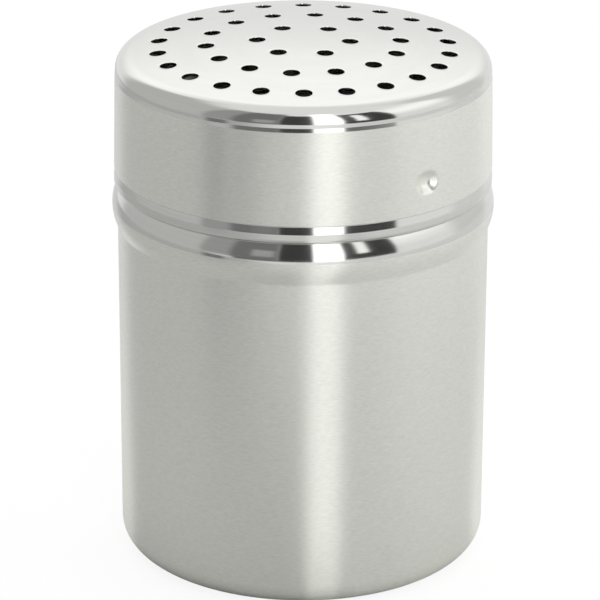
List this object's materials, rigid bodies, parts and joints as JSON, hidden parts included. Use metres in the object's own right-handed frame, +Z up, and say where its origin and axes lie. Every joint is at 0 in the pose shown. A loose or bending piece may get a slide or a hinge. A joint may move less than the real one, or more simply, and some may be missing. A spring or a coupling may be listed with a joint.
{
  "type": "spice shaker",
  "caption": "Stainless-steel spice or sugar shaker: straight canister with a rolled bead and slotted neck, and a domed, perforated lid that twists on.",
  "frame": {"origin": "centre of the foot ring, on the surface that the shaker stands on", "axes": "+Z up along the axis of the canister and the lid; one bayonet lug lies 50.6 degrees clockwise from +X, seen from above, and the other opposite it"},
  "size_m": [0.0708, 0.0708, 0.0985],
  "materials": {
    "satin_steel": "satin, brushed round the axis, with a polished bead",
    "polished_steel": "polished dome and edge, with a satin skirt"
  },
  "bodies": {
    "canister": {"canister": "satin_steel"},
    "lid": {"lid": "polished_steel"}
  },
  "joints": [
    {"name": "lid_lift", "type": "slide", "parent": "canister", "child": "lid", "axis": [0, 0, 1], "range_m": [0, 0.045]}
  ]
}
